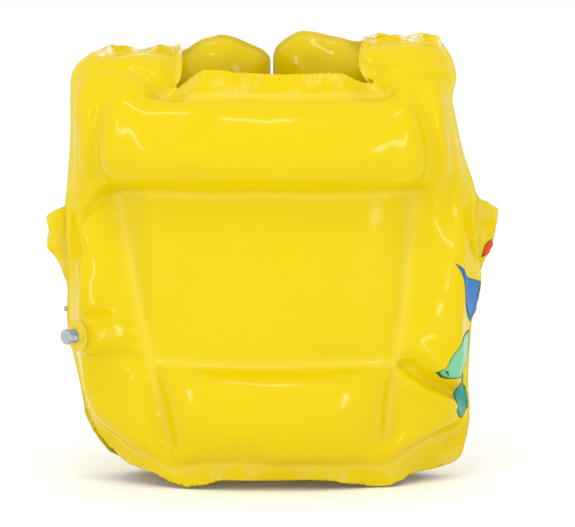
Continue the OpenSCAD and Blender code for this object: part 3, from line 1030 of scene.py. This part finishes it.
PATCH_X = 72.0
TAPE_Y = 97.7
for level in ("upper", "lower"):
    z = STRAP_LEVELS[level]
    for side, word in ((-1, "left"), (1, "right")):
        body = word + "_front"
        patch = patch_on_film(f"{word}_{level}_patch_film", body,
                              rounded(side * PATCH_X, z, 19, 17), 0.9, 0.7, yellow_film)
        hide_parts(f"{word}_{level}_patch")
        bead = patch.modifiers.new("soften", "BEVEL")
        bead.width = 0.3 * MM
        under = on_film(body, [(side * x, z) for x in (82, 72, 60, 50)], 2.0)[:, 1] / MM
        level_y = [min(y, TAPE_Y - 0.2) for y in under]
        ends = [(side * 83, level_y[0]), (side * 72, level_y[1]), (side * 60, level_y[2]),
                (side * 50, max(level_y[3], TAPE_Y - 1.0)), (side * 42, TAPE_Y)]
        if side < 0:
            strap = tape(level + "_socket_tape", ends + [(-34, TAPE_Y), (-27, TAPE_Y)], z)
            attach(strap, body)
            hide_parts(level + "_socket_webbing")
        else:
            strap = tape(level + "_plug_tape", ends + [(36, TAPE_Y), (31, TAPE_Y)], z)
            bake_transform(strap)
            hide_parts(level + "_strap_webbing")
            tail = tape(level + "_tail_tape", [(33, 97.6), (28, 97.7), (24.6, 98.4), (23.8, 101),
                                               (23.8, 105.5), (24.8, 107.7), (28, 108.3),
                                               (46, 108.2), (62, 107.4), (77, 105.6)], z, 19.4, 1.1)
            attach(tail, level + "_plug")
            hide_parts(level + "_strap_tail")
        face_x = [abs(p[0]) for p in ends][::-1]
        face_y = [p[1] for p in ends][::-1]
        box = [(side * a, z + b) for a, b in ((80, -7), (80, 7), (66, 7), (66, -7), (80, -7),
                                              (66, 7))]
        stitches(f"{word}_{level}_stitches", body, box,
                 lambda x: float(np.interp(abs(x), face_x, face_y)) + 0.72)
print("straps laid")

# %% [markdown]
# ## Valves and buckles
# The valves and the buckles are moulded, so the frame already has their true shapes. They only
# need their stuff: soft clear vinyl that lets light through and has a cloudy depth, and satin
# acetal with the very fine grain of a mould. A soft tether joins each plug to its stem.

# %% Moulded materials
def build_mould_group():
    tree, given, result = new_group(
        "moulded_grain",
        [("Colour", "NodeSocketColor", (0.8, 0.8, 0.8, 1)),
         ("Cloud", "NodeSocketColor", (0.6, 0.6, 0.6, 1)),
         ("Gloss", "NodeSocketFloat", 0.3)],
        [("Colour", "NodeSocketColor"), ("Roughness", "NodeSocketFloat"),
         ("Height", "NodeSocketFloat")])
    where = tree.nodes.new("ShaderNodeTexCoord").outputs["Object"]
    cloud = node(tree, "ShaderNodeTexNoise", Scale=120.0, Detail=3.0)
    grain = node(tree, "ShaderNodeTexNoise", Scale=2600.0, Detail=1.0)
    link(tree, where, cloud.inputs["Vector"])
    link(tree, where, grain.inputs["Vector"])
    link(tree, mix_colour(tree, cloud.outputs[0], given.outputs["Cloud"],
                          given.outputs["Colour"]), result.inputs["Colour"])
    rough = math_node(tree, "MULTIPLY", cloud.outputs[0], 0.15)
    link(tree, math_node(tree, "ADD", given.outputs["Gloss"], rough), result.inputs["Roughness"])
    link(tree, grain.outputs[0], result.inputs["Height"])
    return tree


MOULD_GROUP = build_mould_group()


def moulded_material(name, colour, cloud, gloss, clear=0.0, relief=0.00008):
    made, shader = group_material(name, MOULD_GROUP,
                                  {"Colour": colour, "Cloud": cloud, "Gloss": gloss}, 0.4, relief)
    shader.inputs["Transmission Weight"].default_value = clear
    shader.inputs["IOR"].default_value = 1.5
    return made


valve_clear = moulded_material("valve_clear", (0.80, 0.86, 0.87), (0.62, 0.70, 0.72), 0.12, 0.55)
valve_blue = moulded_material("valve_blue", (0.36, 0.55, 0.70), (0.22, 0.40, 0.58), 0.15, 0.35)
collar_clear = moulded_material("collar_clear", (0.83, 0.66, 0.04), (0.78, 0.58, 0.02), 0.15, 0.1)
acetal = moulded_material("acetal", (0.83, 0.83, 0.81), (0.78, 0.78, 0.76), 0.38, 0.0, 0.0002)


def coat(nodes, material):
    for name in nodes:
        part = frame["nodes"][name]
        part.data.materials.clear()
        part.data.materials.append(material)


for name in valve_body:
    coat([name + "_valve_plug", name + "_valve_flap"], valve_clear)
    coat([name + "_valve_stem"], valve_blue)
    coat([name + "_valve_base"], collar_clear)
for level in ("upper", "lower"):
    coat([level + end for end in ("_buckle_socket", "_plug_frame", "_plug_top_prong",
                                  "_plug_bottom_prong")], acetal)

# %% Tethers
for name in valve_body:
    centre, out, aside = valve_axes(name)
    across = out.cross(aside)
    arc = np.array(smooth_line([(10.4, 12.9), (12.4, 12.8), (13.4, 11.8), (12.8, 10.6),
                                (11.0, 10.2), (9.0, 10.6), (7.0, 11.2)], 0.6))
    ring = [(-2, -0.3), (-1.6, -0.45), (1.6, -0.45), (2, -0.3), (2, 0.3), (1.6, 0.45),
            (-1.6, 0.45), (-2, 0.3)]
    verts = [centre + (aside * float(p[0] + n[0] * h) + out * float(p[1] + n[1] * h)
                       + across * w) * MM for p, n in zip(arc, sideways(arc)) for w, h in ring]
    tether = new_piece(name + "_tether", verts, tube_faces(len(arc), len(ring)), valve_clear)
    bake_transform(tether)
print("valves dressed")

# %% [markdown]
# ## Camera, floor and light
# A long lens a little above the middle of the back. The light is a white room: an even world
# with a tall narrow lamp on each side for the highlights on the side tubes, a level one above
# for those on the cushions, a broad skylight, and a weak fill for the fronts. The floor is
# white too, and so large that its edge is never seen.

# %% Studio
VIEW_UP = math.radians(7)
CAMERA_FAR = 4.5     # metres, as are the next three
VIEW_WIDTH = 0.535
FLOOR_HALF = 40
aim = Vector((0.015, -0.06, 0.2116))
camera = bpy.data.objects.new("camera", bpy.data.cameras.new("camera"))
bpy.context.collection.objects.link(camera)
camera.location = aim + CAMERA_FAR * Vector((0, -math.cos(VIEW_UP), math.sin(VIEW_UP)))
camera.rotation_euler = (math.pi / 2 - VIEW_UP, 0, 0)
SENSOR = 36          # millimetres
camera.data.sensor_width = SENSOR
camera.data.lens = SENSOR * CAMERA_FAR / VIEW_WIDTH
bpy.context.scene.camera = camera


def soft_lamp(name, place, size, watts, aim_at=(0, 0, 0.22)):
    lamp = bpy.data.lights.new(name, "AREA")
    lamp.shape = "RECTANGLE"
    lamp.size, lamp.size_y = size
    lamp.energy = watts
    holder = bpy.data.objects.new(name, lamp)
    bpy.context.collection.objects.link(holder)
    holder.location = place
    towards = Vector(aim_at) - Vector(place)
    holder.rotation_euler = towards.to_track_quat("-Z", "Y").to_euler()
    return holder


soft_lamp("left_strip", (-1.5, -1.5, 0.62), (0.06, 0.9), 5)
soft_lamp("right_strip", (1.2, -1.8, 0.62), (0.06, 0.9), 5)
soft_lamp("overhead", (-0.2, -0.9, 2.0), (0.8, 0.12), 5)
soft_lamp("skylight", (0.1, -1.6, 2.4), (2.0, 1.2), 3)
soft_lamp("front_fill", (0.3, 2.0, 1.4), (1.5, 1.0), 2)
world = bpy.data.worlds.new("white_room")
world.use_nodes = True
world.node_tree.nodes["Background"].inputs["Color"].default_value = (1, 1, 1, 1)
world.node_tree.nodes["Background"].inputs["Strength"].default_value = 1.0
bpy.context.scene.world = world
bpy.context.scene.view_settings.view_transform = "Standard"

floor = bpy.data.objects.new("floor", bpy.data.meshes.new("floor"))
corners = [(sx * FLOOR_HALF, sy * FLOOR_HALF, 0) for sx, sy in ((-1, -1), (1, -1), (1, 1), (-1, 1))]
floor.data.from_pydata(corners, [], [(0, 1, 2, 3)])
bpy.context.collection.objects.link(floor)
paper = bpy.data.materials.new("pale_paper")
paper.use_nodes = True
paper_shader = paper.node_tree.nodes["Principled BSDF"]
paper_shader.inputs["Base Color"].default_value = (1.0, 1.0, 1.0, 1)
paper_shader.inputs["Roughness"].default_value = 0.98
floor.data.materials.append(paper)
